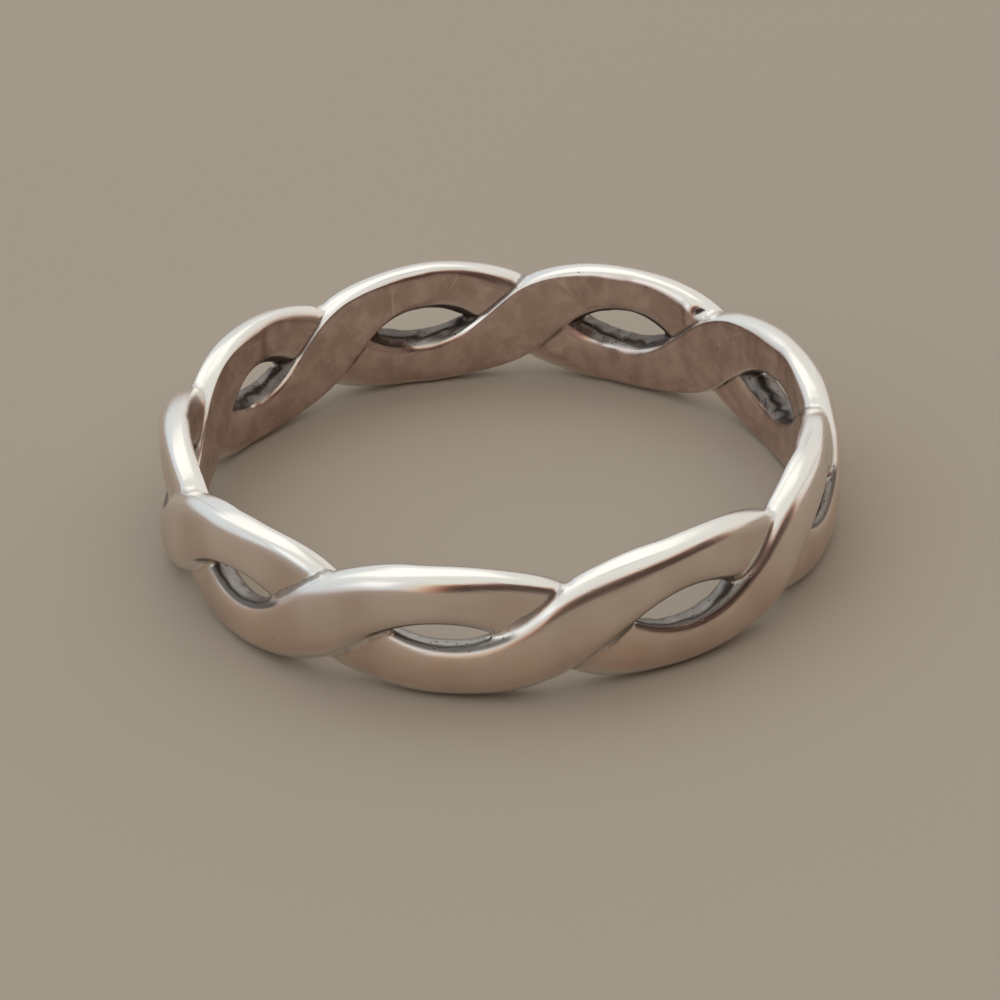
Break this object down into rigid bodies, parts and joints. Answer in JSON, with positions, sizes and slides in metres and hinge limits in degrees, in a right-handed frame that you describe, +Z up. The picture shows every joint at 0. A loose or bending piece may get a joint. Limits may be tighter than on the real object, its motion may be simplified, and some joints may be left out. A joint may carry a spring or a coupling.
{
  "type": "braided band ring",
  "caption": "Silver band ring of two flattened strands twisted round each other, fused where they cross, with open eyelets between them.",
  "frame": {"origin": "on the bore's axis, at the surface that the ring lies on", "axes": "+Z up along the bore's axis; the ring lies on its side, with its front towards -Y"},
  "size_m": [0.0195, 0.0196, 0.0039],
  "materials": {
    "silver": "cast silver, polished by hand, with fine wear scratches, and dark tarnish left in the seams and eyelets"
  },
  "bodies": {
    "root": {"band": "silver"}
  },
  "joints": []
}
